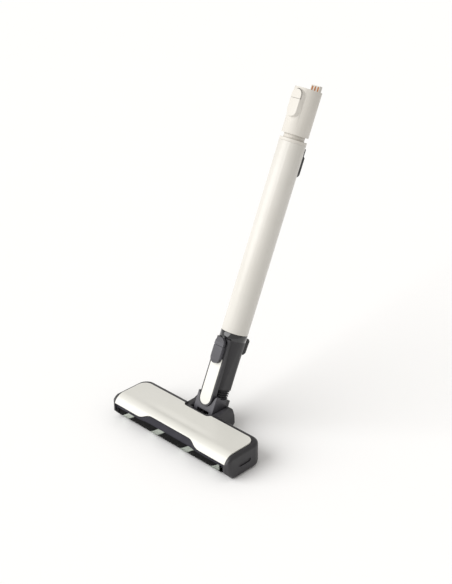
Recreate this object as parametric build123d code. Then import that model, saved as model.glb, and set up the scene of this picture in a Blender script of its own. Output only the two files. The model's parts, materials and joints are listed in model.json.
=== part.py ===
from build123d import *
from math import cos, radians, sin
import os

# Cordless stick vacuum: powered floor head, swivel neck and wand, in millimetres.
# X runs across the head, -Y is the front, +Z is up. The origin is on the floor, in
# the middle of the floor head. The wand stands leaning back, as it does when parked.

# ------------------------------------------------------------------ driving sizes
# Floor head
HEAD_WIDTH = 230.0
HEAD_FRONT = -34.5
HEAD_REAR = 33.5
CAP_THICK = 8.0
CAP_TOP = 35.5
CAP_ROUND = 4.0
RIM_ROUND = 5.0
COVER_TOP = 35.5
COVER_HALF = 108.4
COVER_REAR = 24.8
COVER_CORNER = 13.0
COVER_EDGE = 25.2
COVER_WALL = 1.8
NOTCH_HALF = 21.5
NOTCH_FRONT = 19.8
WAVE_TOP = 31.5
SIDE_GAP = 0.3
CORNER_REAR = 16.5
CORNER_FRONT = 9.0
HOOD_Y = -16.5
HOOD_Z = 19.0
HOOD_RADIUS = COVER_TOP - HOOD_Z
LIP_INSET = 0.2

# Roller brush and its drive
BRUSH_Y = -16.5
BRUSH_Z = 15.5
BRUSH_RADIUS = 14.8
CORE_RADIUS = 9.0
BRUSH_LEFT = -103.5
BRUSH_RIGHT = 98.5
STRIP_PITCH = 118.0
PLUSH_WIDTH = 9.0
PLUSH_STARTS = (64, 244)
CHAMBER_RADIUS = 15.6
CHAMBER_WALL = 1.5
MOTOR_Y = 13.0
MOTOR_Z = 18.5
MOTOR_RADIUS = 11.5
MOTOR_LEFT = -84.0
MOTOR_RIGHT = -38.0
BRUSH_PULLEY_RADIUS = 9.0
MOTOR_PULLEY_RADIUS = 5.0
BELT_THICK = 1.2
BELT_GAP = 0.3

# Tilt joint, wheels and rollers
PIVOT_Y = 46.6
PIVOT_Z = 18.0
LUG_INNER = 18.5
LUG_OUTER = 29.0
POCKET_HALF = 19.3
POCKET_RADIUS = 18.3
WHEEL_Y = 56.5
WHEEL_RADIUS = 8.5
ROLLER_X = 98.0
ROLLER_Y = 13.0
ROLLER_RADIUS = 4.5
SOLE_SCREWS = [(-88, 11), (-26, 20), (26, 20), (88, 11)]
PIN_GAP = 0.06

# Wand, measured along its own axis from the tilt pivot
LEAN = 24.87
SWING = 25.0
SWING_HEIGHT = 25.0
SADDLE_RADIUS = 12.2
SPINE_HALF = 11.6
SPINE_FRONT = -19.3
PANEL_HALF = 9.4
KNUCKLE_HALF = 17.5
KNUCKLE_FRONT = -16.75
KNUCKLE_BACK = 13.0
KNUCKLE_TOP = 28.0
KNUCKLE_SPLIT = 6.5
BELLOWS_TOP = 40.3
NECK_BOTTOM = 40.5
SOCKET_BOTTOM = 96.0
COLLAR_BOTTOM = 112.3
COLLAR_TOP = 121.5
TUBE_BOTTOM = 122.0
TUBE_TOP = 392.7
RING_TOP = 397.0
CONNECTOR_BOTTOM = 403.0
CONNECTOR_TOP = 466.0
TUBE_RADIUS = 19.0
TUBE_WALL = 1.0
SPIGOT_RADIUS = 16.4
SOCKET_RADIUS = 16.5
AIR_RADIUS = 12.5
INLET_RADIUS = 14.0
INLET_Y = -2.5
INLET_BOTTOM = 424.0
NECK_SCREW_HEIGHTS = (52, 68)
NECK_STATIONS = [(NECK_BOTTOM, 13.5, -11.4, 17.5, 7.0), (76, 15.6, -15.4, 18.3, 12.5),
                 (COLLAR_BOTTOM, 18.9, -18.9, 18.9, 18.8)]

# Release levers: pill-shaped pads whose upper part presses in
NECK_PAD = {"front": -25.3, "half": 8.1, "low": 76.0, "split": 101.0, "high": 113.0}
WAND_PAD = {"front": -22.2, "half": 8.0, "low": 425.7, "split": 450.0, "high": 462.7}
PAD_SPLIT_GAP = 0.5
NECK_LEVER_BACK = -20.6
WAND_LEVER_BACK = -19.6
WAND_PAD_SHELF = -19.15
WELL_FLOOR = -17.2
SLOT_FLOOR = -16.5
LEVER_PIN_RADIUS = 0.9
LEVER_PIN_Y = -18.1
LEVER_PIN_RISE = 2.2

HALF_WIDTH = HEAD_WIDTH / 2
CAP_INNER = HALF_WIDTH - CAP_THICK
SIDES = (-1, 1)

os.makedirs("parts", exist_ok=True)


# ------------------------------------------------------------------ helpers
def block(x_span, y_span, z_span):
    """A box given by its low and high corner on each axis."""
    spans = (x_span, y_span, z_span)
    middle = [(low + high) / 2 for low, high in spans]
    sides = [high - low for low, high in spans]
    return Pos(*middle) * Box(*sides)


def prism_x(sketch, x_from, x_to):
    """A sketch drawn as (y, z), pushed along X."""
    return extrude(Plane.YZ.offset(x_from) * sketch, x_to - x_from)


def prism_y(sketch, y_from, y_to):
    """A sketch drawn as (x, z), pushed along Y."""
    return extrude(Plane.XZ.offset(-y_from) * sketch, y_from - y_to)


def rod_x(radius, x_from, x_to, y, z):
    return prism_x(Pos(y, z) * Circle(radius), x_from, x_to)


def rod_y(radius, y_from, y_to, x, z):
    return prism_y(Pos(x, z) * Circle(radius), y_from, y_to)


def rod_z(radius, z_from, z_to, x=0.0, y=0.0):
    return extrude(Plane.XY.offset(z_from) * Pos(x, y) * Circle(radius), z_to - z_from)


def tube_z(outer, inner, z_from, z_to):
    return rod_z(outer, z_from, z_to) - rod_z(inner, z_from, z_to)


def outline(points, radii):
    """A closed face through the points, with each corner rounded by its radius."""
    face = make_face(Polyline(*points, close=True))
    for point, radius in zip(points, radii):
        if radius > 0:
            corner = face.vertices().sort_by_distance((point[0], point[1], 0))[0]
            face = fillet(corner, radius)
    return face


def stadium(half, low, high):
    """A pill shape standing along the second axis, with round ends."""
    straight = high - low - 2 * half
    ends = Pos(0, low + half) * Circle(half) + Pos(0, high - half) * Circle(half)
    return ends + Pos(0, (low + high) / 2) * Rectangle(2 * half, straight)


def both_sides(shape):
    return [shape, mirror(shape, about=Plane.YZ)]


def together(shapes):
    """Several separate solids saved as one group."""
    solids = [solid for shape in shapes for solid in shape.solids()]
    return Compound(children=solids)


def save(name, shape):
    export_step(shape, f"parts/{name}.step")


def on_wand(shape):
    """Move a shape from the wand's own axes to its place behind the head."""
    return Location((0, PIVOT_Y, PIVOT_Z), (-LEAN, 0, 0)) * shape


def screw_down(x, y, z_head, length, radius=1.3):
    """A countersunk screw driven upwards, with its head at z_head."""
    shank = rod_z(radius, z_head, z_head + length, x, y)
    return shank + rod_z(2 * radius, z_head, z_head + 1.2, x, y)


# ------------------------------------------------------------------ floor head
CAP_POINTS = [(-22.5, 0.8), (20, 0.8), (HEAD_REAR, 12), (HEAD_REAR, CAP_TOP), (HEAD_FRONT, CAP_TOP),
              (HEAD_FRONT, 14)]
CAP_RADII = [5, 8, 5, 0, 15.5, 8]


def cap_profile(inset=0.0):
    return offset(outline(CAP_POINTS, CAP_RADII), -inset)


def head_plan(inset=0.0):
    """The head seen from above, as a tall prism that rounds its corners and its top edge."""
    x, front, rear = HALF_WIDTH, HEAD_FRONT, HEAD_REAR
    points = [(-x, front), (x, front), (x, rear), (-x, rear)]
    radii = [CORNER_FRONT, CORNER_FRONT, CORNER_REAR, CORNER_REAR]
    top = CAP_TOP - inset
    prism = extrude(Plane.XY.offset(-5) * offset(outline(points, radii), -inset), top + 5)
    return fillet(prism.faces().sort_by(Axis.Z)[-1].edges(), RIM_ROUND - inset)


def hood_profile(outer, inner):
    """The curved front of the head: flat on top, then a quarter round down to the lip."""
    def quarter(radius):
        return (Pos(HOOD_Y, HOOD_Z) * Circle(radius)
                + Pos((COVER_REAR + HOOD_Y) / 2, HOOD_Z + radius / 2)
                * Rectangle(COVER_REAR - HOOD_Y, radius))
    ring = quarter(outer) - quarter(inner)
    keep = Pos((COVER_REAR - 40) / 2, HOOD_Z + 20) * Rectangle(COVER_REAR + 40, 40)
    return ring & keep


def wave_below(low, high):
    """Everything under a line that rises from low at the sides to high in the middle."""
    outer, inner, ease = 62.0, 36.0, 12.0
    left_rise = Bezier((-outer, low), (-outer + ease, low), (-inner - ease, high), (-inner, high))
    right_fall = Bezier((inner, high), (inner + ease, high), (outer - ease, low), (outer, low))
    line = (Polyline((-outer, low), (-120, low), (-120, -5), (120, -5), (120, low), (outer, low))
            + right_fall + Line((inner, high), (-inner, high)) + left_rise)
    return prism_y(make_face(line), -40, -18)


def cover_plan(grow=0.0):
    """The cover seen from above, as a tall prism that runs on past its front."""
    x, rear = COVER_HALF + grow, COVER_REAR + grow
    points = [(-x, -60), (x, -60), (x, rear), (-x, rear)]
    radii = [0, 0, COVER_CORNER + grow, COVER_CORNER + grow]
    return extrude(Plane.XY.offset(-5) * outline(points, radii), 60)


def cover_recess():
    """The room that the cover's ends need on top of the end caps."""
    outside = Pos(-15, 42) * Rectangle(120, 2 * (42 - COVER_EDGE + 0.2))
    inside = Pos(HOOD_Y, HOOD_Z) * Circle(HOOD_RADIUS - COVER_WALL - 0.2)
    inside += Pos(HOOD_Y + 50, 0) * Rectangle(100, 2 * (COVER_TOP - COVER_WALL - 0.2))
    return prism_x(outside - inside, CAP_INNER - 1, COVER_HALF + 2) & cover_plan(SIDE_GAP)


def notch_prism():
    """The room for the neck cut into the back of the cover, wider towards the rear."""
    inner, outer, end = NOTCH_HALF, NOTCH_HALF + 4.5, NOTCH_FRONT + 5.2
    points = [(-inner, NOTCH_FRONT), (inner, NOTCH_FRONT), (outer, end), (outer, 60), (-outer, 60),
              (-outer, end)]
    return extrude(Plane.XY.offset(20) * outline(points, [3, 3, 0, 0, 0, 0]), 30)


def top_cover():
    shell = prism_x(hood_profile(HOOD_RADIUS, HOOD_RADIUS - COVER_WALL), -COVER_HALF, COVER_HALF)
    shell &= cover_plan()
    shell -= wave_below(COVER_EDGE, WAVE_TOP)
    return shell - notch_prism()


def front_lip():
    outer = HOOD_RADIUS - LIP_INSET
    shell = prism_x(hood_profile(outer, HOOD_RADIUS - COVER_WALL), -CAP_INNER, CAP_INNER)
    shell &= wave_below(COVER_EDGE, WAVE_TOP)
    shell -= wave_below(21.0, 23.0)
    return shell & head_plan(1.2)


def chassis():
    rear = HEAD_REAR
    side = CAP_INNER
    ends = side - 2
    body = prism_x(outline([(-27.5, 3), (24, 3), (rear, 11), (rear, 33.4), (-27.5, 33.4)],
                           [0, 4, 4, 0, 0]), -ends, ends)
    whole = body
    end_wall = outline([(-21, 3), (24, 3), (rear, 11), (rear, 33.4), (-31, 33.4), (-31, 14)],
                       [6, 4, 4, 0, 14.3, 6])
    for end in SIDES:
        body += prism_x(end_wall, *sorted((end * ends, end * side)))
    chamber = rod_x(CHAMBER_RADIUS, -ends, ends, BRUSH_Y, BRUSH_Z)
    chamber_skin = rod_x(CHAMBER_RADIUS + CHAMBER_WALL, -ends, ends, BRUSH_Y, BRUSH_Z)
    front = block((-ends, ends), (-60, BRUSH_Y), (-5, 40))
    bay = prism_x(outline([(-20, 5), (23, 5), (rear - 2.2, 11.6), (rear - 2.2, 40), (-20, 40)],
                          [0, 3, 3, 0, 0]), -ends, ends)
    mouth = block((-ends, ends), (-60, -7.2), (-5, BRUSH_Z))
    body -= (front - chamber_skin) + (bay - chamber_skin) + chamber + mouth

    # Air duct down the middle, and the wall of the pocket that the knuckle turns in.
    duct = block((-14.5, 14.5), (-2, 28), (3, 31)) + block((-21, 21), (25.8, rear), (3, 33.4))
    body += duct - chamber_skin
    air = block((-13, 13), (-3, 26.5), (5, 29.5)) - rod_x(CHAMBER_RADIUS, -14, 14, BRUSH_Y, BRUSH_Z)
    body -= air + block((-12, 12), (20, 32), (6, 28))

    # Rim behind the cover, and the sunken deck under the cover's notch.
    rim = block((-side, side), (COVER_REAR - COVER_CORNER, rear), (32.5, CAP_TOP))
    rim -= cover_plan(SIDE_GAP) + notch_prism()
    body += rim + block((-30, 30), (19.3, rear), (31.2, 33.4))
    body -= block((-SPINE_HALF - 1.5, SPINE_HALF + 1.5), (25.5, rear + 1), (31.2, 40))

    # Cradles that carry the motor.
    for x in (MOTOR_LEFT + 7, MOTOR_RIGHT - 7):
        cradle = block((x - 1.5, x + 1.5), (3, rear - 1), (4, MOTOR_Z)) & whole
        body += cradle - rod_x(MOTOR_RADIUS, x - 2, x + 2, MOTOR_Y, MOTOR_Z)

    # Posts under the circuit board.
    for x in (36, 82):
        for y in (8, 24):
            body += rod_z(2.2, 4, 12.5, x, y)

    body &= head_plan()
    for end in SIDES:
        body += lug(end)
    body -= rod_x(POCKET_RADIUS, -POCKET_HALF, POCKET_HALF, PIVOT_Y, PIVOT_Z)
    body -= block((-POCKET_HALF, POCKET_HALF), (28.3, 60), (PIVOT_Z, 60))
    body -= block((-LUG_INNER, LUG_INNER), (28.3, 80), (-5, 60))
    for end in SIDES:
        body -= lug_cuts(end)
        body -= roller_pocket(end * ROLLER_X)
    body -= rod_x(3.0, -HALF_WIDTH, -ends, MOTOR_Y, MOTOR_Z)
    body -= rod_x(6.0, -HALF_WIDTH, HALF_WIDTH, BRUSH_Y, BRUSH_Z)
    for x, y in SOLE_SCREWS:
        body += rod_z(3.2, 3, 12, x, y) - rod_z(1.3, 3, 10, x, y)
        body -= rod_z(1.3, 2, 10, x, y)
    return body - block((-95, 95), (-2, 4), (0, 4.0))


def lug(end):
    """One of the two ears behind the head that carry the wand and the rear wheels."""
    points = [(29, 5), (29, 33), (46, 33.5), (53, 36.5), (58.5, 36.5), (63.5, 31.5), (66.8, 21),
              (67.5, 8), (64, 4.5)]
    radii = [0, 0, 6, 3, 4, 6, 12, 3, 2]
    ear = prism_x(outline(points, radii), LUG_INNER, LUG_OUTER)
    slope = make_face(Polyline((17, 29.9), (17, 45), (26.5, 45), (26.5, 36.8), close=True))
    ear -= prism_y(slope, 32, 75)
    return ear if end > 0 else mirror(ear, about=Plane.YZ)


def lug_cuts(end):
    slot_low, slot_high = 20.6, 27.0
    slot_radius = WHEEL_RADIUS + 0.8
    cuts = rod_x(slot_radius, slot_low, slot_high, WHEEL_Y, WHEEL_RADIUS)
    cuts += block((slot_low, slot_high), (WHEEL_Y - slot_radius, WHEEL_Y + slot_radius),
                  (-5, WHEEL_RADIUS))
    cuts += rod_x(1.5, LUG_INNER - 1, 28.0, WHEEL_Y, WHEEL_RADIUS)
    cuts += rod_x(3.5, LUG_INNER - 1, 27.5, PIVOT_Y, PIVOT_Z)
    return cuts if end > 0 else mirror(cuts, about=Plane.YZ)


def roller_pocket(x):
    pocket = block((x - 5, x + 5), (ROLLER_Y - 5.6, ROLLER_Y + 5.6), (-1, 10.5))
    return pocket + rod_x(1.25, x - 6.5, x + 6.5, ROLLER_Y, ROLLER_RADIUS)


def sole_plate():
    plate = block((-104, 104), (5.5, 24), (1.2, 3.0))
    plate = fillet(plate.edges().filter_by(Axis.Z), 3)
    for end in SIDES:
        plate -= roller_pocket(end * ROLLER_X)
    for x, y in SOLE_SCREWS:
        plate -= rod_z(1.3, 0, 5, x, y) + rod_z(2.6, 0, 2.4, x, y)
    return plate


def glide_strip():
    return block((-95, 95), (-2, 4), (0, 4.0))


def end_cap(end):
    cap = prism_x(cap_profile(), CAP_INNER + 0.2, HALF_WIDTH)
    cap = fillet(cap.faces().sort_by(Axis.X)[-1].edges(), CAP_ROUND) & head_plan()
    cap -= cover_recess()
    hollow = prism_x(cap_profile(4.2), CAP_INNER, HALF_WIDTH - 2.2)
    hollow += prism_x(cap_profile(2.0), CAP_INNER, HALF_WIDTH - 2.2) & block((90, 120), (-60, 60), (0, 18))
    cap -= hollow & head_plan(2.1)
    slot = Rot(0, 0, 90) * stadium(3.0, -11, 11)
    cap -= prism_x(Pos(-1, 17.8) * slot, HALF_WIDTH - 1.2, HALF_WIDTH + 1)
    return cap if end > 0 else mirror(cap, about=Plane.YZ)


def brush_bearing_right():
    housing = block((BRUSH_RIGHT + 0.6, CAP_INNER - 2), (-24.5, -8.5), (7.5, 23.5))
    return housing - rod_x(3 + PIN_GAP, 90, 110, BRUSH_Y, BRUSH_Z)


def brush_bearing_left():
    ring = rod_x(6.0, -CAP_INNER, -CAP_INNER + 3, BRUSH_Y, BRUSH_Z)
    return ring - rod_x(3 + PIN_GAP, -120, -90, BRUSH_Y, BRUSH_Z)


def helix_strip(start, width, inner, outer):
    """A strip wound along the brush core, built from short twisted steps."""
    length = BRUSH_RIGHT - BRUSH_LEFT - 3
    turns = 360 * length / STRIP_PITCH
    steps = 14
    middle = (inner + outer) / 2
    first = BRUSH_LEFT + 1.5
    sections = []
    for step in range(steps + 1):
        plane = Plane.YZ.offset(first + length * step / steps)
        turn = start - turns * step / steps
        place = Pos(BRUSH_Y, BRUSH_Z) * Rot(0, 0, turn) * Pos(middle, 0)
        sections.append(plane * place * Rectangle(outer - inner, width))
    return loft(sections) - rod_x(CORE_RADIUS, BRUSH_LEFT, BRUSH_RIGHT, BRUSH_Y, BRUSH_Z)


def plush_strips():
    return together([helix_strip(start, PLUSH_WIDTH, 8.2, BRUSH_RADIUS) for start in PLUSH_STARTS])


def bristle_rows():
    """The dense dark pile that fills the brush between the two plush strips."""
    first, last = BRUSH_LEFT + 2.0, BRUSH_RIGHT - 2.0
    pile = rod_x(BRUSH_RADIUS - 0.3, first, last, BRUSH_Y, BRUSH_Z)
    pile -= rod_x(CORE_RADIUS, first - 1, last + 1, BRUSH_Y, BRUSH_Z)
    for start in PLUSH_STARTS:
        pile -= helix_strip(start, PLUSH_WIDTH + 0.3, 8.2, BRUSH_RADIUS + 0.5)
    return together(pile.solids())


def brush_core():
    return (rod_x(CORE_RADIUS, BRUSH_LEFT, BRUSH_RIGHT, BRUSH_Y, BRUSH_Z)
            - rod_x(3.0, BRUSH_LEFT, BRUSH_RIGHT, BRUSH_Y, BRUSH_Z))


def brush_axle():
    return rod_x(3.0, -112.6, CAP_INNER - 2.4, BRUSH_Y, BRUSH_Z)


def pulley(radius, bore, y, z):
    """A flanged belt pulley outside the chassis's left end wall."""
    hub = rod_x(radius, -112.2, -107.8, y, z)
    hub += rod_x(radius + 1.4, -107.9, -107.3, y, z)
    return hub - rod_x(bore, -113, -107, y, z)


def drive_belt():
    """The belt: two half rings joined by straight runs, just clear of the pulleys."""
    inner_brush = BRUSH_PULLEY_RADIUS + BELT_GAP
    inner_motor = MOTOR_PULLEY_RADIUS + BELT_GAP
    centres = Pos(BRUSH_Y, BRUSH_Z), Pos(MOTOR_Y, MOTOR_Z)

    def loop(extra):
        circles = (centres[0] * Circle(inner_brush + extra), centres[1] * Circle(inner_motor + extra))
        return make_hull((circles[0] + circles[1]).edges())

    return prism_x(loop(BELT_THICK) - loop(0), -112.0, -108.2)


def brush_motor():
    can = rod_x(MOTOR_RADIUS, MOTOR_LEFT, MOTOR_RIGHT, MOTOR_Y, MOTOR_Z)
    can += rod_x(4.5, MOTOR_LEFT - 2.5, MOTOR_RIGHT + 2.5, MOTOR_Y, MOTOR_Z)
    return can - rod_x(1.6 + PIN_GAP, MOTOR_LEFT - 5, MOTOR_LEFT + 4, MOTOR_Y, MOTOR_Z)


def motor_clamp():
    middle = (MOTOR_LEFT + MOTOR_RIGHT) / 2
    strap = rod_x(MOTOR_RADIUS + 0.8, middle - 4, middle + 4, MOTOR_Y, MOTOR_Z)
    return strap - rod_x(MOTOR_RADIUS, middle - 5, middle + 5, MOTOR_Y, MOTOR_Z)


def head_circuit_board():
    board = block((31, 84), (4.5, 27), (12.5, 14.1))
    board += block((38, 50), (9, 20), (14.1, 20)) + block((58, 64), (8, 14), (14.1, 18))
    return board + block((68, 78), (12, 24), (14.1, 24))


def motor_lead():
    """Two-core lead from the motor over the duct to the circuit board."""
    path = FilletPolyline((-35.5, 17, 19), (-25, 17, 19), (-25, 17, 32.2), (33.5, 17, 32.2),
                          (33.5, 17, 14.1), radius=[6, 6, 6])
    start = Plane(origin=path @ 0, z_dir=path % 0)
    return sweep(start * Circle(1.0), path=path)


def sole_screws():
    return together([screw_down(x, y, 1.2, 8) for x, y in SOLE_SCREWS])


def rear_wheel(end):
    wheel = rod_x(WHEEL_RADIUS, 21.0, 26.6, WHEEL_Y, WHEEL_RADIUS)
    wheel -= rod_x(1.5 + PIN_GAP, 20, 28, WHEEL_Y, WHEEL_RADIUS)
    return wheel if end > 0 else mirror(wheel, about=Plane.YZ)


def front_roller(end):
    x = end * ROLLER_X
    roller = rod_x(ROLLER_RADIUS, x - 4.4, x + 4.4, ROLLER_Y, ROLLER_RADIUS)
    return roller - rod_x(1.25 + PIN_GAP, x - 6, x + 6, ROLLER_Y, ROLLER_RADIUS)


def rear_axles():
    return together(both_sides(rod_x(1.5, LUG_INNER, 28.0, WHEEL_Y, WHEEL_RADIUS)))


def front_axles():
    return together([rod_x(1.25, x - 6.5, x + 6.5, ROLLER_Y, ROLLER_RADIUS)
                     for x in (-ROLLER_X, ROLLER_X)])


def tilt_pins():
    return together(both_sides(rod_x(3.5, 13.0, 27.5, PIVOT_Y, PIVOT_Z)))


# ------------------------------------------------------------------ knuckle, on the wand's axes
def knuckle_block():
    points = [(KNUCKLE_FRONT, -3), (KNUCKLE_FRONT, 30.7), (-8.5, 30.7), (-8.5, KNUCKLE_TOP),
              (KNUCKLE_BACK, KNUCKLE_TOP), (KNUCKLE_BACK, -5), (5, -14), (-6, -14)]
    body = prism_x(outline(points, [5, 0, 0, 0, 2, 5, 5, 5]), -KNUCKLE_HALF, KNUCKLE_HALF)
    cavity = block((-15.3, 15.3), (-8.5, KNUCKLE_BACK - 2.2), (-11.5, 26))
    posts = [rod_y(2.8, -9, KNUCKLE_BACK, x, z) for x in (-12.9, 12.9) for z in (-6.8, 20.8)]
    bosses = both_sides(rod_x(5.8, 12.6, 16, 0, 0))
    body -= cavity
    for piece in posts + bosses:
        body += piece
    body -= block((-11, 11), (-6.5, 9), (20, 40))
    body -= block((-11.2, 11.2), (-20, -6), (-10.8, 7.6))
    flare = radians(SWING)
    edge = (SADDLE_RADIUS * cos(flare), SWING_HEIGHT - SADDLE_RADIUS * sin(flare))
    top = (edge[0] + 25 * sin(flare), edge[1] + 25 * cos(flare))
    opening = make_face(Polyline(edge, top, (-top[0], top[1]), (-edge[0], edge[1]), close=True))
    opening += Pos(0, SWING_HEIGHT) * Circle(SADDLE_RADIUS)
    body -= prism_y(opening, -20, -10.9)
    body -= rod_x(3.5 + PIN_GAP, -20, 20, 0, 0)
    body -= rod_y(3.5, -12, -8, 0, SWING_HEIGHT) + rod_y(2.5, 9, 14, 0, SWING_HEIGHT)
    for x in (-12.9, 12.9):
        for z in (-6.8, 20.8):
            body -= rod_y(1.3, 0, 20, x, z) + rod_y(2.6, KNUCKLE_BACK - 1.2, 20, x, z)
    return body


def knuckle_front_shell():
    return knuckle_block() & block((-40, 40), (-40, KNUCKLE_SPLIT), (-40, 60))


def knuckle_rear_shell():
    return knuckle_block() & block((-40, 40), (KNUCKLE_SPLIT, 40), (-40, 60))


def knuckle_screws():
    screws = []
    for x in (-12.9, 12.9):
        for z in (-6.8, 20.8):
            screws.append(rod_y(1.3, 0.5, KNUCKLE_BACK, x, z)
                          + rod_y(2.6, KNUCKLE_BACK - 1.2, KNUCKLE_BACK, x, z))
    return together(screws)


def lean_pivots():
    """The two coaxial pins that the neck leans on, in front and behind."""
    front = rod_y(3.5, -17.9, -8.5, 0, SWING_HEIGHT) + rod_y(5.5, -17.9, -16.5, 0, SWING_HEIGHT)
    back = rod_y(2.5, 10.8, 18.2, 0, SWING_HEIGHT) + rod_y(4.2, 16.7, 18.2, 0, SWING_HEIGHT)
    return together([front, back])


def bellows_hose():
    """A short ribbed rubber hose between the knuckle and the neck."""
    def layer(half_x, half_y, low, high, corner):
        face = Pos(0, 1.25) * RectangleRounded(2 * half_x, 2 * half_y, corner)
        return extrude(Plane.XY.offset(low) * face, high - low)
    hose = layer(10.9, 8.2, KNUCKLE_TOP, BELLOWS_TOP, 4)
    ribs = 4
    pitch = (BELLOWS_TOP - KNUCKLE_TOP) / ribs
    for rib in range(ribs):
        low = KNUCKLE_TOP + pitch * rib + pitch / 4
        hose += layer(12.8, 9.5, low, low + pitch / 2, 5)
    return hose - layer(9.7, 7.0, KNUCKLE_TOP - 1, BELLOWS_TOP + 1, 3)


# ------------------------------------------------------------------ neck, on the wand's axes
def neck_sections(inset, stations):
    faces = []
    for height, half, front, back, corner in stations:
        width = 2 * (half - inset)
        depth = back - front - 2 * inset
        round_corner = min(corner - inset * 0.8, min(width, depth) / 2 - 0.05)
        place = Plane.XY.offset(height) * Pos(0, (front + back) / 2)
        faces.append(place * RectangleRounded(width, depth, round_corner))
    return loft(faces)


def neck_outer():
    return neck_sections(0.0, NECK_STATIONS)


def neck_hollow():
    airway = neck_sections(2.4, NECK_STATIONS) & block((-40, 40), (-40, 40), (0, SOCKET_BOTTOM + 1))
    airway += block((-8, 8), (-6, 10), (NECK_BOTTOM - 2, NECK_BOTTOM + 2))
    airway += rod_z(15.2, SOCKET_BOTTOM - 6, SOCKET_BOTTOM + 1)
    return airway + rod_z(SOCKET_RADIUS, SOCKET_BOTTOM, COLLAR_TOP + 5)


def lever_pocket(pad, shelf):
    """Room under a release lever: a shelf, a well to press into and two slots for its lugs."""
    split, high = pad["split"], pad["high"]
    pill = stadium(pad["half"] + 0.7, split - 20, high + 0.9)
    above_split = Pos(0, split + 49.8) * Rectangle(60, 100)
    above_pin = Pos(0, split + 53.8) * Rectangle(60, 100)
    room = prism_y(pill & above_split, pad["front"] - 2, shelf)
    room += prism_y(pill & above_pin, shelf - 1, WELL_FLOOR)
    for x in (-5.6, 5.6):
        room += block((x - 1.5, x + 1.5), (shelf - 1, SLOT_FLOOR), (split - 0.2, split + 4.2))
    return room + rod_x(LEVER_PIN_RADIUS, -pad["half"], pad["half"], LEVER_PIN_Y,
                        split + LEVER_PIN_RISE)


def neck_body():
    tongue = prism_y(stadium(6.5, SWING_HEIGHT - 6.5, 62), 13.5, 16.4)
    body = neck_outer() + tongue
    body -= neck_hollow()
    body -= rod_y(2.5 + PIN_GAP, 12, 18, 0, SWING_HEIGHT)
    body -= lever_pocket(NECK_PAD, SPINE_FRONT)
    for height in NECK_SCREW_HEIGHTS:
        body -= rod_y(1.3, -20, -8, 0, height)
    return body


def neck_spine():
    """The long front bar with the round end that seats in the knuckle's saddle."""
    low = SWING_HEIGHT - SPINE_HALF
    bar = stadium(SPINE_HALF, low, COLLAR_BOTTOM + 12) & Rectangle(60, 2 * COLLAR_BOTTOM)
    spine = prism_y(bar, SPINE_FRONT, -11.4)
    spine -= neck_outer()
    spine -= prism_y(panel_outline(0.15), SPINE_FRONT - 1, SPINE_FRONT + 1.2)
    spine -= lever_pocket(NECK_PAD, SPINE_FRONT)
    spine -= rod_y(3.5 + PIN_GAP, -20, -8, 0, SWING_HEIGHT)
    spine -= rod_y(6.0, -20, -16.3, 0, SWING_HEIGHT)
    for height in NECK_SCREW_HEIGHTS:
        spine -= rod_y(1.3, -20, -8, 0, height) + rod_y(2.6, -20, -16.0, 0, height)
    return spine


def panel_outline(grow=0.0):
    low = SWING_HEIGHT - PANEL_HALF
    face = stadium(PANEL_HALF + grow, low - grow, NECK_PAD["low"] + 30)
    face &= Rectangle(60, 2 * (NECK_PAD["low"] + 8))
    return face - stadium(NECK_PAD["half"] + 0.3 - grow, NECK_PAD["low"] - 0.3 + grow, 140)


def neck_panel():
    return prism_y(panel_outline(), SPINE_FRONT - 0.4, SPINE_FRONT + 1.2)


def neck_screws():
    return together([rod_y(1.3, -17.4, -8.5, 0, height) + rod_y(2.5, -17.4, -16.0, 0, height)
                     for height in NECK_SCREW_HEIGHTS])


def neck_collar():
    ring = tube_z(TUBE_RADIUS, SOCKET_RADIUS, COLLAR_BOTTOM, COLLAR_TOP)
    return ring - lever_pocket(NECK_PAD, SPINE_FRONT)


def neck_rear_hook():
    points = [(15, 94), (24, 91.5), (28.2, 94.5), (29.5, 112), (26.5, 115.5), (15, 111)]
    hook = prism_x(outline(points, [0, 3, 3, 1.5, 1.5, 0]), -7, 7)
    return hook - neck_outer() - rod_z(TUBE_RADIUS, 108, 130)


def pad_base(pad, back):
    """The fixed lower part of a release pad."""
    face = stadium(pad["half"], pad["low"], pad["high"])
    face &= Pos(0, pad["split"] - 50) * Rectangle(60, 100 - PAD_SPLIT_GAP)
    return prism_y(face, pad["front"], back)


def lever(pad, back):
    """The moving upper part of a release pad, with its two pin lugs."""
    face = stadium(pad["half"], pad["low"], pad["high"])
    face &= Pos(0, pad["split"] + 50) * Rectangle(60, 100 - PAD_SPLIT_GAP)
    arm = prism_y(face, pad["front"], back)
    pin_height = pad["split"] + LEVER_PIN_RISE
    for x in (-5.6, 5.6):
        arm += block((x - 1.2, x + 1.2), (back - 0.5, LEVER_PIN_Y), (pin_height - 1.3, pin_height + 1.3))
        arm += rod_x(1.3, x - 1.2, x + 1.2, LEVER_PIN_Y, pin_height)
    return arm - rod_x(LEVER_PIN_RADIUS + PIN_GAP, -20, 20, LEVER_PIN_Y, pin_height)


def lever_pin(pad):
    return rod_x(LEVER_PIN_RADIUS, -pad["half"], pad["half"], LEVER_PIN_Y,
                 pad["split"] + LEVER_PIN_RISE)


def lever_spring(pad, back):
    """A bowed leaf spring lying in the well and pushing the lever's upper end out."""
    low, high = pad["split"] + 4.8, pad["high"] - 3.0
    middle, foot, crown = (low + high) / 2, WELL_FLOOR - 0.1, back + 0.15
    outer = ThreePointArc((foot, low), (crown, middle), (foot, high))
    inner = ThreePointArc((foot, low + 0.4), (crown + 0.3, middle), (foot, high - 0.4))
    ends = Line((foot, low), (foot, low + 0.4)) + Line((foot, high), (foot, high - 0.4))
    return prism_x(make_face(outer + inner + ends), -2.5, 2.5)


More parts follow.
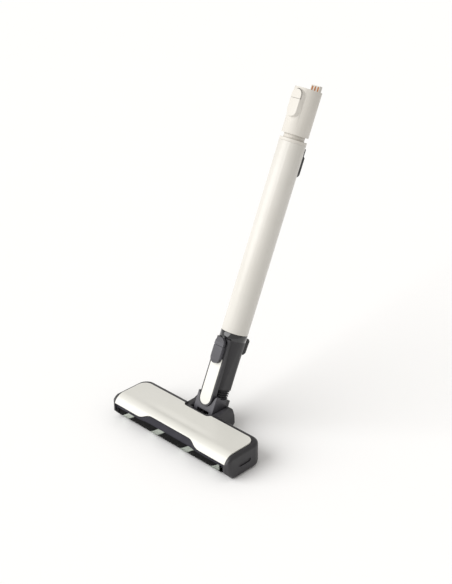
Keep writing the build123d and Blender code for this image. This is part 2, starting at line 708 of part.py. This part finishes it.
def neck_terminal_block():
    housing = block((-6, 6), (9, 15.4), (84, 95.5)) & neck_sections(2.4, NECK_STATIONS)
    for x in (-3.5, 0, 3.5):
        housing -= rod_z(0.8, 90, 97, x, 11)
    return housing


def neck_terminal_pins():
    return together([rod_z(0.8, 90, 104, x, 11) for x in (-3.5, 0, 3.5)])


# ------------------------------------------------------------------ wand, on its own axes
def wand_tube():
    return tube_z(TUBE_RADIUS, TUBE_RADIUS - TUBE_WALL, TUBE_BOTTOM, TUBE_TOP)


def wand_lower_spigot():
    inner = 14.2
    spigot = tube_z(SPIGOT_RADIUS, inner, SOCKET_BOTTOM + 1.5, TUBE_BOTTOM + 1)
    return spigot + tube_z(TUBE_RADIUS - TUBE_WALL, inner, TUBE_BOTTOM, TUBE_BOTTOM + 18)


def wand_plug():
    plug = block((-6, 6), (8.4, 12.8), (SOCKET_BOTTOM + 1.5, 111))
    for x in (-3.5, 0, 3.5):
        plug -= rod_z(0.8 + PIN_GAP, 90, 106, x, 11)
    return plug & rod_z(14.2, 90, 120)


def wand_top_ring():
    ring = tube_z(TUBE_RADIUS, AIR_RADIUS, TUBE_TOP, RING_TOP)
    return ring + tube_z(TUBE_RADIUS - TUBE_WALL, AIR_RADIUS, TUBE_TOP - 14, TUBE_TOP + 1)


def wand_wire_channel():
    low, high = TUBE_BOTTOM + 18.2, TUBE_TOP - 14.2
    channel = block((-5, 5), (12.6, 17.1), (low, high))
    return channel - block((-4, 4), (13.6, 18), (low - 1, high + 1))


def wand_leads():
    low, high = TUBE_BOTTOM + 18.6, TUBE_TOP - 14.6
    return together([rod_z(1.0, low, high, x, 15.2) for x in (-2.6, 0, 2.6)])


def tube_rear_clip():
    face = stadium(9.0, 346, 400) & Pos(0, 389 - 50) * Rectangle(40, 100)
    pad = prism_y(face, 5, 30)
    side = outline([(0, 340), (19.2, 345.5), (24.0, 351), (24.0, 377), (21.3, 378.5), (21.3, 389),
                    (0, 389)], [0, 0, 2, 1, 0, 0.8, 0])
    pad &= prism_x(side, -20, 20)
    return pad - rod_z(TUBE_RADIUS, 330, 400)


def connector_collar():
    return tube_z(14.7, AIR_RADIUS, RING_TOP, CONNECTOR_BOTTOM)


def wand_pad_boss():
    """The swelling on the connector that carries its release pad."""
    face = Plane.XZ.offset(-WAND_PAD["front"]) * stadium(WAND_PAD["half"], WAND_PAD["low"],
                                                         WAND_PAD["high"])
    return extrude(face, -9, taper=-24)


def connector_housing():
    body = rod_z(TUBE_RADIUS, CONNECTOR_BOTTOM, CONNECTOR_TOP)
    keep = block((-40, 40), (-40, -12), (CONNECTOR_BOTTOM + 10, CONNECTOR_TOP))
    body += (wand_pad_boss() & keep)
    body -= rod_z(INLET_RADIUS, INLET_BOTTOM, CONNECTOR_TOP + 1, 0, INLET_Y)
    body -= rod_z(AIR_RADIUS - 1.5, CONNECTOR_BOTTOM - 1, INLET_BOTTOM + 1)
    body -= lever_pocket(WAND_PAD, WAND_PAD_SHELF)
    return body - block((-7.6, 7.6), (12.4, 25), (438, CONNECTOR_TOP + 1))


def terminal_block():
    housing = block((-7.6, 7.6), (12.4, 18.9), (438, 474.5))
    housing &= rod_z(TUBE_RADIUS, 430, 480)
    for x in (-5, 0, 5):
        housing -= block((x - 1.3, x + 1.3), (12, 13.0), (452, 473))
    return housing


def terminal_contacts():
    return together([block((x - 1.3, x + 1.3), (12.4, 13.0), (452, 473)) for x in (-5, 0, 5)])


# ------------------------------------------------------------------ write every piece
HEAD_PIECES = {
    "chassis": chassis(),
    "sole_plate": sole_plate(),
    "glide_strip": glide_strip(),
    "top_cover": top_cover(),
    "front_lip": front_lip(),
    "left_end_cap": end_cap(-1),
    "right_end_cap": end_cap(1),
    "sole_screws": sole_screws(),
    "brush_motor": brush_motor(),
    "motor_clamp": motor_clamp(),
    "motor_shaft": rod_x(1.6, -112.6, MOTOR_LEFT + 3, MOTOR_Y, MOTOR_Z),
    "motor_pulley": pulley(MOTOR_PULLEY_RADIUS, 1.6, MOTOR_Y, MOTOR_Z),
    "drive_belt": drive_belt(),
    "head_circuit_board": head_circuit_board(),
    "motor_lead": motor_lead(),
    "brush_core": brush_core(),
    "brush_axle": brush_axle(),
    "brush_pulley": pulley(BRUSH_PULLEY_RADIUS, 3.0, BRUSH_Y, BRUSH_Z),
    "brush_bearing_left": brush_bearing_left(),
    "brush_bearing_right": brush_bearing_right(),
    "plush_strips": plush_strips(),
    "bristle_rows": bristle_rows(),
    "rear_wheel_left": rear_wheel(-1),
    "rear_wheel_right": rear_wheel(1),
    "rear_axles": rear_axles(),
    "front_roller_left": front_roller(-1),
    "front_roller_right": front_roller(1),
    "front_axles": front_axles(),
    "tilt_pins": tilt_pins(),
}

WAND_PIECES = {
    "knuckle_front_shell": knuckle_front_shell(),
    "knuckle_rear_shell": knuckle_rear_shell(),
    "knuckle_screws": knuckle_screws(),
    "lean_pivots": lean_pivots(),
    "bellows_hose": bellows_hose(),
    "neck_body": neck_body(),
    "neck_spine": neck_spine(),
    "neck_panel": neck_panel(),
    "neck_screws": neck_screws(),
    "neck_collar": neck_collar(),
    "neck_rear_hook": neck_rear_hook(),
    "neck_pad_base": pad_base(NECK_PAD, SPINE_FRONT),
    "neck_lever": lever(NECK_PAD, NECK_LEVER_BACK),
    "neck_lever_pin": lever_pin(NECK_PAD),
    "neck_lever_spring": lever_spring(NECK_PAD, NECK_LEVER_BACK),
    "neck_terminal_block": neck_terminal_block(),
    "neck_terminal_pins": neck_terminal_pins(),
    "wand_tube": wand_tube(),
    "wand_lower_spigot": wand_lower_spigot(),
    "wand_plug": wand_plug(),
    "wand_top_ring": wand_top_ring(),
    "wand_wire_channel": wand_wire_channel(),
    "wand_leads": wand_leads(),
    "tube_rear_clip": tube_rear_clip(),
    "connector_collar": connector_collar(),
    "connector_housing": connector_housing(),
    "connector_lever": lever(WAND_PAD, WAND_LEVER_BACK),
    "connector_lever_pin": lever_pin(WAND_PAD),
    "connector_lever_spring": lever_spring(WAND_PAD, WAND_LEVER_BACK),
    "terminal_block": terminal_block(),
    "terminal_contacts": terminal_contacts(),
}

for name, shape in HEAD_PIECES.items():
    save(name, shape)
for name, shape in WAND_PIECES.items():
    save(name, on_wand(shape))
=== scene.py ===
import json
import math
import random

import bpy
from mathutils import Matrix, Vector


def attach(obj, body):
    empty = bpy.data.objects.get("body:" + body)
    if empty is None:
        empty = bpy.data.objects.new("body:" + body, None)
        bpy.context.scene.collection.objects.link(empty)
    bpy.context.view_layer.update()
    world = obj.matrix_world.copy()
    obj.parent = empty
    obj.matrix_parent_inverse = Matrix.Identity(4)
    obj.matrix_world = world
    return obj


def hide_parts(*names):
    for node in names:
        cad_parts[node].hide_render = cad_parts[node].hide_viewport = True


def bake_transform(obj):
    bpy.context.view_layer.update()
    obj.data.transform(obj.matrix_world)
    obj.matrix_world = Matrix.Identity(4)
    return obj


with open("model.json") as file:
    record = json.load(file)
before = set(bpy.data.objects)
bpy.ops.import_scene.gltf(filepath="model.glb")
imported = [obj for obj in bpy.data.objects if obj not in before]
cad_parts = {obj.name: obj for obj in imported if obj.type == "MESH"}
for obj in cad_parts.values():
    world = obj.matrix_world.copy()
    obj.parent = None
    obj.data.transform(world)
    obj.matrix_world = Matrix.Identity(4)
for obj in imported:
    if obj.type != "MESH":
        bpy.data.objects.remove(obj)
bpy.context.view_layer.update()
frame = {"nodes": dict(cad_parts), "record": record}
RECORD = frame["record"]
JOINTS = {joint["name"]: joint for joint in RECORD["behaviour"]["joints"]}
MM = 0.001

# ------------------------------------------------------------------ driving sizes, in millimetres
# Top cover: flat on top, then a quarter round down to its front edge
COVER_HALF, COVER_REAR, COVER_TOP, COVER_EDGE = 108.4, 24.8, 35.5, 25.2
COVER_CORNER, COVER_WALL, COVER_ROUND = 13.0, 1.5, 0.45
HOOD_Y, HOOD_Z = -16.5, 19.0
HOOD_RADIUS = COVER_TOP - HOOD_Z
NOTCH_HALF, NOTCH_REAR, NOTCH_SLOPE, NOTCH_ROUND = 21.5, 19.8, 1.156, 1.2
WAVE_TOP, WAVE_OUTER, WAVE_INNER, WAVE_EASE = 31.5, 62.0, 36.0, 12.0
DIP_DEPTH, DIP_HALF, DIP_Y, DIP_SPREAD = 1.1, 52.0, -12.5, 6.5
COVER_ROWS = 56

# Brush: two plush strips wound round the core, and dark pile between them
BRUSH_Y, BRUSH_Z = -16.5, 15.5
BRUSH_LEFT, BRUSH_RIGHT = -101.5, 96.5
STRIP_START, STRIP_FIRST, STRIP_PITCH, STRIP_HALF_TURN = 64.0, -102.0, 118.0, 180.0
PLUSH_HALF_ANGLE = math.degrees(4.5 / 13.6)
DARK_HALF_ANGLE = 90 - PLUSH_HALF_ANGLE - 0.6
BED_FOOT, BED_SECTIONS, BED_STEPS = 8.8, 120, 9
TUFT_FOOT, TUFT_MIDDLE, TUFT_LEAN = 12.4, 13, (-3.0, 6.0)

# Ribbed hose, measured along the wand from the tilt pivot
HOSE_LOW, HOSE_HIGH, HOSE_RIBS, HOSE_SWELL = 28.0, 40.3, 4, 1.25
HOSE_BACK, HOSE_HALF_X, HOSE_HALF_Y, HOSE_CORNER = 2.2, 13.2, 10.6, 5.2
HOSE_WALL, HOSE_OVERLAP, HOSE_RINGS_PER_RIB, HOSE_CORNER_STEPS = 0.9, 0.2, 14, 7

# Soft edges of the CAD pieces
EDGE_SOFTNESS = {"left_end_cap": 0.8, "right_end_cap": 0.8, "neck_pad_base": 0.8, "neck_lever": 0.8}
USUAL_SOFTNESS = 0.35

# ------------------------------------------------------------------ places taken from the frame
PIVOT = Vector(JOINTS["head_tilt"]["pos_m"])
WAND_UP = Vector(JOINTS["wand_release"]["axis"]).normalized()
ACROSS = Vector((1, 0, 0))
WAND_BACK = WAND_UP.cross(ACROSS)
WAND_FRAME = Matrix((ACROSS, WAND_BACK, WAND_UP)).transposed().to_4x4()
WAND_FRAME.translation = PIVOT


# ------------------------------------------------------------------ node helpers
def new_material(name):
    """An empty material with a principled shader joined to its output."""
    material = bpy.data.materials.new(name)
    material.use_nodes = True
    tree = material.node_tree
    tree.nodes.clear()
    output = tree.nodes.new("ShaderNodeOutputMaterial")
    shader = tree.nodes.new("ShaderNodeBsdfPrincipled")
    tree.links.new(shader.outputs["BSDF"], output.inputs["Surface"])
    return material, tree, shader


def object_point(tree, stretch=(1, 1, 1)):
    """Object coordinates in metres, optionally stretched."""
    coordinate = tree.nodes.new("ShaderNodeTexCoord")
    mapping = tree.nodes.new("ShaderNodeMapping")
    mapping.inputs["Scale"].default_value = stretch
    tree.links.new(coordinate.outputs["Object"], mapping.inputs["Vector"])
    return mapping.outputs["Vector"]


def noise(tree, point, scale, detail=3.0, roughness=0.5):
    """Noise from 0 to 1; scale is in waves per metre."""
    node = tree.nodes.new("ShaderNodeTexNoise")
    node.inputs["Scale"].default_value = scale
    node.inputs["Detail"].default_value = detail
    node.inputs["Roughness"].default_value = roughness
    tree.links.new(point, node.inputs["Vector"])
    return node.outputs["Fac"]


def remap(tree, value, low, high, to_low, to_high):
    """Moves a value from the range low..high to the range to_low..to_high."""
    node = tree.nodes.new("ShaderNodeMapRange")
    node.inputs["From Min"].default_value = low
    node.inputs["From Max"].default_value = high
    node.inputs["To Min"].default_value = to_low
    node.inputs["To Max"].default_value = to_high
    tree.links.new(value, node.inputs["Value"])
    return node.outputs["Result"]


def mix_colour(tree, factor, first, second):
    """Blends two colours, each a tuple or a socket, by a factor socket."""
    node = tree.nodes.new("ShaderNodeMix")
    node.data_type = "RGBA"
    tree.links.new(factor, node.inputs["Factor"])
    for socket, value in ((node.inputs["A"], first), (node.inputs["B"], second)):
        if isinstance(value, tuple):
            socket.default_value = (*value, 1)
        else:
            tree.links.new(value, socket)
    return node.outputs["Result"]


def add_bump(tree, shader, heights):
    """Chains bumps: each entry is (height socket, strength, distance in metres)."""
    normal = None
    for height, strength, distance in heights:
        node = tree.nodes.new("ShaderNodeBump")
        node.inputs["Strength"].default_value = strength
        node.inputs["Distance"].default_value = distance
        tree.links.new(height, node.inputs["Height"])
        if normal is not None:
            tree.links.new(normal, node.inputs["Normal"])
        normal = node.outputs["Normal"]
    tree.links.new(normal, shader.inputs["Normal"])


def srgb(red, green, blue):
    """A colour given in 0-255 screen values, as linear light."""
    def linear(value):
        value /= 255
        return value / 12.92 if value <= 0.04045 else ((value + 0.055) / 1.055) ** 2.4
    return linear(red), linear(green), linear(blue)


# ------------------------------------------------------------------ materials
def moulded_plastic(name, colour, shade, rough, grain, grain_scale=2600.0, edge_highlight=None, coat=0.0,
                    specular=0.5):
    """Moulded plastic: two close tones, a fine eroded grain and a painted highlight that lightens the
    convex edges.
    """
    material, tree, shader = new_material(name)
    point = object_point(tree)
    tone = remap(tree, noise(tree, point, 14.0, 4.0), 0.3, 0.7, 0.0, 1.0)
    colour_socket = mix_colour(tree, tone, colour, shade)
    # Painted highlight: convex edges, picked out by pointiness, are blended towards the lighter edge
    # colour.
    if edge_highlight is not None:
        geometry = tree.nodes.new("ShaderNodeNewGeometry")
        edge_highlight_mask = remap(tree, geometry.outputs["Pointiness"], 0.51, 0.60, 0.0, 0.55)
        colour_socket = mix_colour(tree, edge_highlight_mask, colour_socket, edge_highlight)
    tree.links.new(colour_socket, shader.inputs["Base Color"])
    smudge = noise(tree, point, 60.0, 5.0)
    tree.links.new(remap(tree, smudge, 0.25, 0.75, rough - 0.05, rough + 0.06),
                   shader.inputs["Roughness"])
    fine = noise(tree, point, grain_scale, 2.0, 0.6)
    coarse = noise(tree, point, grain_scale / 3.2, 3.0)
    add_bump(tree, shader, [(coarse, grain * 0.6, 0.00008), (fine, grain, 0.00004)])
    shader.inputs["Coat Weight"].default_value = coat
    shader.inputs["Coat Roughness"].default_value = 0.12
    shader.inputs["Specular IOR Level"].default_value = specular
    return material


def metal(name, colour, shade, rough, brush=(1, 1, 1)):
    """Bare metal with fine drawn lines and faint stains."""
    material, tree, shader = new_material(name)
    point = object_point(tree, brush)
    lines = noise(tree, point, 1800.0, 2.0)
    stain = noise(tree, object_point(tree), 220.0, 4.0)
    tree.links.new(mix_colour(tree, stain, colour, shade), shader.inputs["Base Color"])
    tree.links.new(remap(tree, lines, 0.3, 0.7, rough - 0.08, rough + 0.1), shader.inputs["Roughness"])
    shader.inputs["Metallic"].default_value = 1.0
    add_bump(tree, shader, [(lines, 0.25, 0.00003)])
    return material


MATERIALS = {
    "cover_white": moulded_plastic("cover_white", srgb(216, 215, 209), srgb(212, 211, 204), 0.34,
                                   0.10, 1800.0, coat=0.25),
    "tube_white": moulded_plastic("tube_white", srgb(209, 206, 200), srgb(204, 201, 194), 0.38, 0.16,
                                  1500.0, coat=0.15),
    "wand_white": moulded_plastic("wand_white", srgb(207, 203, 196), srgb(202, 198, 190), 0.52, 0.30,
                                  2600.0),
    # The edge colours of the two dark plastics below are painted highlights on their convex edges.
    "dark_shell": moulded_plastic("dark_shell", srgb(41, 40, 43), srgb(35, 34, 37), 0.44, 0.35,
                                  2200.0, edge_highlight=srgb(70, 69, 73)),
    "dark_detail": moulded_plastic("dark_detail", srgb(60, 59, 64), srgb(53, 52, 57), 0.50, 0.55,
                                   1700.0, edge_highlight=srgb(98, 97, 104)),
    "gloss_collar": moulded_plastic("gloss_collar", srgb(30, 30, 32), srgb(24, 24, 26), 0.12, 0.05,
                                    900.0, coat=0.6),
    "black_rubber": moulded_plastic("black_rubber", srgb(38, 38, 40), srgb(30, 30, 32), 0.55, 0.5,
                                    1400.0),
    "plush": moulded_plastic("plush", srgb(168, 173, 165), srgb(140, 146, 138), 0.9, 0.8, 1500.0),
    "bristle": moulded_plastic("bristle", srgb(13, 13, 13), srgb(8, 8, 8), 0.7, 0.3, 2000.0,
                               specular=0.15),
    "brush_core": moulded_plastic("brush_core", srgb(22, 22, 23), srgb(16, 16, 17), 0.5, 0.3, 2000.0),
    "circuit_board": moulded_plastic("circuit_board", srgb(30, 92, 58), srgb(20, 70, 44), 0.4, 0.2,
                                     900.0),
    "steel": metal("steel", srgb(190, 190, 192), srgb(160, 160, 163), 0.32, (0.05, 1, 1)),
    "bearing_bronze": metal("bearing_bronze", srgb(186, 150, 96), srgb(150, 118, 72), 0.45),
    "contact_copper": metal("contact_copper", srgb(128, 86, 56), srgb(98, 64, 42), 0.34,
                            (1, 0.2, 0.2)),
    "lip": moulded_plastic("lip", srgb(38, 37, 45), srgb(33, 32, 40), 0.5, 0.35, 2200.0,
                           specular=0.2),
    # Dark grey plastic lightened past its own colour: painted light standing in for the light on the
    # knuckle front shell's front face.
    "saddle_lit": moulded_plastic("saddle_lit", srgb(82, 81, 86), srgb(76, 75, 80), 0.42, 0.35, 2200.0),
    "black_trim": moulded_plastic("black_trim", srgb(22, 21, 22), srgb(16, 16, 17), 0.5, 0.4,
                                  2200.0),
}

# Pieces whose look differs from that of their slot; the knuckle front shell's lighter grey is partly
# painted light for its lit front face.
OWN_LOOK = {"front_lip": "lip", "knuckle_front_shell": "saddle_lit", "neck_rear_hook": "black_trim",
            "tube_rear_clip": "black_trim"}

SLOT_OF = {entry["node"]: entry["material_slot"] for entry in RECORD["subparts"]}


def finish_cad_node(name, node):
    """Give a CAD piece its material and soft edges."""
    material = MATERIALS[OWN_LOOK.get(name, SLOT_OF[name])]
    for slot in node.material_slots:
        slot.material = material
    weld = node.modifiers.new("weld", "WELD")
    weld.merge_threshold = 0.01 * MM
    bevel = node.modifiers.new("bevel", "BEVEL")
    bevel.width = EDGE_SOFTNESS.get(name, USUAL_SOFTNESS) * MM
    bevel.segments = 2
    bevel.limit_method = "ANGLE"
    bevel.angle_limit = math.radians(38)
    bevel.use_clamp_overlap = True
    bevel.harden_normals = True


for node_name, node in frame["nodes"].items():
    finish_cad_node(node_name, node)


# ------------------------------------------------------------------ mesh helpers
def mesh_piece(name, vertices, faces, material, body=None):
    """A new smooth-shaded mesh in metres, which rides on a body where one is named."""
    mesh = bpy.data.meshes.new(name)
    mesh.from_pydata(vertices, [], faces)
    mesh.materials.append(material)
    mesh.polygons.foreach_set("use_smooth", [True] * len(faces))
    mesh.update()
    piece = bpy.data.objects.new(name, mesh)
    bpy.context.scene.collection.objects.link(piece)
    if body is not None:
        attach(piece, body)
    return piece


def grid_faces(rows, columns, closed=False):
    """Quads joining a grid of rows x columns points; closed joins the last column to the first."""
    faces = []
    for row in range(rows - 1):
        for column in range(columns if closed else columns - 1):
            right = (column + 1) % columns
            low, high = row * columns, (row + 1) * columns
            faces.append((low + column, low + right, high + right, high + column))
    return faces


# ------------------------------------------------------------------ top cover
def wave_height(x):
    """Height of the cover's front edge: low at the sides, raised over the lip in the middle."""
    x = abs(x)
    if x >= WAVE_OUTER:
        return COVER_EDGE
    if x <= WAVE_INNER:
        return WAVE_TOP
    low, high = 0.0, 1.0
    for _ in range(30):
        step = (low + high) / 2
        across = ((1 - step) ** 3 * WAVE_OUTER + 3 * (1 - step) ** 2 * step * (WAVE_OUTER - WAVE_EASE)
                  + 3 * (1 - step) * step ** 2 * (WAVE_INNER + WAVE_EASE) + step ** 3 * WAVE_INNER)
        low, high = (step, high) if across > x else (low, step)
    rise = 3 * step ** 2 - 2 * step ** 3
    return COVER_EDGE + (WAVE_TOP - COVER_EDGE) * rise


def rear_line(x):
    """Where the cover ends at the back: rounded outer corners and a notch for the neck."""
    x = abs(x)
    past = x - NOTCH_HALF
    notch = NOTCH_REAR + NOTCH_SLOPE * (past + math.hypot(past, NOTCH_ROUND)) / 2
    into = max(x - COVER_HALF + COVER_CORNER, 0.0)
    corner = COVER_REAR - COVER_CORNER + math.sqrt(max(COVER_CORNER ** 2 - into ** 2, 0.0))
    return min(notch, corner)


def cover_columns():
    """X stations, close together where the outline turns."""
    spans = [(0, 18, 8), (19, 27, 20), (28, 36, 4), (37, 62, 18), (64, 95, 12)]
    stations = {0.0}
    for low, high, count in spans:
        for step in range(count + 1):
            stations.add(round(low + (high - low) * step / count, 3))
    corner_start, corner_steps = COVER_HALF - COVER_CORNER, 14
    for step in range(corner_steps + 1):
        turn = math.pi / 2 * step / corner_steps
        stations.add(round(corner_start + COVER_CORNER * math.sin(turn), 3))
    return sorted({-x for x in stations} | stations)


def cover_point(x, along):
    """A point of the cover at a share of the way from its rear edge to its front edge."""
    front_angle = math.asin((wave_height(x) - HOOD_Z) / HOOD_RADIUS)
    flat = rear_line(x) - HOOD_Y
    arc = (math.pi / 2 - front_angle) * HOOD_RADIUS
    travelled = along * (flat + arc)
    if travelled <= flat:
        y, z = rear_line(x) - travelled, COVER_TOP
    else:
        angle = math.pi / 2 - (travelled - flat) / HOOD_RADIUS
        y, z = HOOD_Y - HOOD_RADIUS * math.cos(angle), HOOD_Z + HOOD_RADIUS * math.sin(angle)
    dip = DIP_DEPTH / (1 + (abs(x) / DIP_HALF) ** 6) * math.exp(-((y - DIP_Y) / DIP_SPREAD) ** 2)
    return x * MM, y * MM, (z - dip) * MM


def build_cover():
    """The cover as one smooth sheet, given its wall thickness and rounded edges by modifiers."""
    columns = cover_columns()
    points = [cover_point(x, row / (COVER_ROWS - 1)) for row in range(COVER_ROWS) for x in columns]
    cover = mesh_piece("cover_moulding", points, grid_faces(COVER_ROWS, len(columns)),
                       MATERIALS["cover_white"], "floor_head")
    thickness = cover.modifiers.new("wall", "SOLIDIFY")
    thickness.thickness = COVER_WALL * MM
    thickness.offset = -1.0
    rounding = cover.modifiers.new("rounding", "BEVEL")
    rounding.width = COVER_ROUND * MM
    rounding.segments = 3
    rounding.limit_method = "ANGLE"
    rounding.angle_limit = math.radians(50)
    rounding.harden_normals = True
    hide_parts("top_cover")


# ------------------------------------------------------------------ brush pile
CHANCE = random.Random(7)


def strip_angle(x):
    """Angle of the first plush strip round the brush, at a place along it, in degrees."""
    return STRIP_START - 360 * (x - STRIP_FIRST) / STRIP_PITCH


def round_brush(x, angle, radius):
    """A point in metres, from its place along the brush, its angle and its radius."""
    turn = math.radians(angle)
    return Vector((x, BRUSH_Y + radius * math.cos(turn), BRUSH_Z + radius * math.sin(turn))) * MM


def pile_bed(middle, half, radius, sections):
    """The solid bed under one wound strip of pile: its top and its two flanks."""
    points = []
    for section in range(sections + 1):
        x = BRUSH_LEFT + (BRUSH_RIGHT - BRUSH_LEFT) * section / sections
        centre = strip_angle(x) + middle
        points.append(round_brush(x, centre - half, BED_FOOT))
        for step in range(BED_STEPS):
            share = 2 * step / (BED_STEPS - 1)
            points.append(round_brush(x, centre - half + half * share, radius))
        points.append(round_brush(x, centre + half, BED_FOOT))
    return points, grid_faces(sections + 1, BED_STEPS + 2, closed=True)


def pile_tufts(middle, half, count, low, high, width):
    """Tapered tufts standing on a bed, most of them leaning a little to one side."""
    points, faces = [], []
    for _ in range(count):
        x = CHANCE.uniform(BRUSH_LEFT + 0.4, BRUSH_RIGHT - 0.4)
        angle = strip_angle(x) + middle + CHANCE.uniform(-half, half)
        tip_radius = CHANCE.uniform(low, high)
        lean = CHANCE.uniform(*TUFT_LEAN)
        base = len(points)
        for corner in range(3):
            around = 2 * math.pi * corner / 3
            turn = math.degrees(width * math.sin(around) / TUFT_MIDDLE)
            points.append(round_brush(x + width * math.cos(around), angle + turn, TUFT_FOOT))
        points.append(round_brush(x + CHANCE.uniform(-0.5, 0.5), angle + lean, tip_radius))
        faces += [(base, base + 1, base + 3), (base + 1, base + 2, base + 3), (base + 2, base, base + 3)]
    return points, faces


def build_pile(name, node, middles, half, count, low, high, width, bed_radius):
    """One kind of pile round the brush: a bed and its tufts for each strip, joined in one piece."""
    points, faces = [], []
    for middle in middles:
        for more_points, more_faces in (pile_bed(middle, half, bed_radius, BED_SECTIONS),
                                        pile_tufts(middle, half, count, low, high, width)):
            shift = len(points)
            points += more_points
            faces += [tuple(index + shift for index in face) for face in more_faces]
    pile = mesh_piece(name, points, faces, MATERIALS[SLOT_OF[node]], "brush")
    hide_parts(node)


def build_brush():
    build_pile("plush_pile", "plush_strips", (0, STRIP_HALF_TURN), PLUSH_HALF_ANGLE,
               count=2600, low=14.6, high=15.3, width=0.34, bed_radius=14.1)
    build_pile("dark_pile", "bristle_rows", (90, 90 + STRIP_HALF_TURN), DARK_HALF_ANGLE,
               count=7000, low=14.3, high=15.1, width=0.30, bed_radius=13.8)


# ------------------------------------------------------------------ ribbed hose
def rounded_ring(half_x, half_y, corner, steps):
    """Points round a rounded rectangle."""
    ring = []
    for quarter, (side_x, side_y) in enumerate(((1, 1), (-1, 1), (-1, -1), (1, -1))):
        for step in range(steps):
            turn = math.pi / 2 * (quarter + step / (steps - 1))
            ring.append((side_x * (half_x - corner) + corner * math.cos(turn),
                         side_y * (half_y - corner) + corner * math.sin(turn)))
    return ring


def build_hose():
    """Rounded ribs and deep valleys, thick enough to have an inside."""
    points = []
    rings = HOSE_RINGS_PER_RIB * HOSE_RIBS + 1
    for ring in range(rings):
        share = ring / (rings - 1)
        swell = math.cos(2 * math.pi * HOSE_RIBS * share)
        swell = -HOSE_SWELL * math.copysign(abs(swell) ** 0.7, swell)
        height = HOSE_LOW - HOSE_OVERLAP + (HOSE_HIGH - HOSE_LOW + 2 * HOSE_OVERLAP) * share
        for x, y in rounded_ring(HOSE_HALF_X + swell, HOSE_HALF_Y + 0.75 * swell, HOSE_CORNER,
                                 HOSE_CORNER_STEPS):
            points.append(WAND_FRAME @ (Vector((x, y + HOSE_BACK, height)) * MM))
    hose = mesh_piece("hose_bellows", points,
                      grid_faces(rings, 4 * HOSE_CORNER_STEPS, closed=True),
                      MATERIALS["black_rubber"])
    wall = hose.modifiers.new("wall", "SOLIDIFY")
    wall.thickness = HOSE_WALL * MM
    wall.offset = -1.0
    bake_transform(hose)
    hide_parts("bellows_hose")


build_cover()
build_brush()
build_hose()


# ------------------------------------------------------------------ stage, light and camera
def build_stage():
    """A near-white floor, six metres each way."""
    mesh = bpy.data.meshes.new("floor")
    size = 6.0
    corners = [(-size, -size, 0), (size, -size, 0), (size, size, 0), (-size, size, 0)]
    mesh.from_pydata(corners, [], [(0, 1, 2, 3)])
    floor = bpy.data.objects.new("floor", mesh)
    bpy.context.scene.collection.objects.link(floor)
    material, tree, shader = new_material("floor_paint")
    point = object_point(tree)
    soft = noise(tree, point, 3.0, 2.0)
    tree.links.new(mix_colour(tree, soft, (0.95, 0.95, 0.95), (0.96, 0.96, 0.96)),
                   shader.inputs["Base Color"])
    shader.inputs["Roughness"].default_value = 0.9
    shader.inputs["Specular IOR Level"].default_value = 0.1
    mesh.materials.append(material)


def build_light():
    """Soft light from all round, and a wide sun from the front left."""
    world = bpy.data.worlds.new("studio")
    world.use_nodes = True
    background = world.node_tree.nodes["Background"]
    background.inputs["Color"].default_value = (1.0, 0.98, 0.95, 1)
    background.inputs["Strength"].default_value = 0.62
    bpy.context.scene.world = world
    sun = bpy.data.lights.new("key", "SUN")
    sun.energy = 2.65
    sun.angle = math.radians(60)
    lamp = bpy.data.objects.new("key", sun)
    toward_light = Vector((-0.5, -1.0, 0.7))
    lamp.rotation_euler = (-toward_light).to_track_quat("-Z", "Y").to_euler()
    bpy.context.scene.collection.objects.link(lamp)


def build_camera():
    """The viewing angle: from the front right, looking down at the head."""
    azimuth, height, roll = math.radians(45.09), math.radians(26.80), math.radians(-0.66)
    distance, focal = 1.61764, 72.0
    target = Vector((-0.02971, 0.11164, 0.17505))
    back = Vector((math.sin(azimuth) * math.cos(height), -math.cos(azimuth) * math.cos(height),
                   math.sin(height)))
    level = Vector((math.cos(azimuth), math.sin(azimuth), 0))
    upright = back.cross(level)
    right = math.cos(roll) * level + math.sin(roll) * upright
    up = -math.sin(roll) * level + math.cos(roll) * upright
    data = bpy.data.cameras.new("camera")
    data.sensor_width = 36.0
    data.lens = focal
    camera = bpy.data.objects.new("camera", data)
    camera.matrix_world = Matrix((right, up, back)).transposed().to_4x4()
    camera.matrix_world.translation = target + back * distance
    bpy.context.scene.collection.objects.link(camera)
    bpy.context.scene.camera = camera


build_stage()
build_light()
build_camera()
bpy.context.scene.view_settings.view_transform = "Standard"
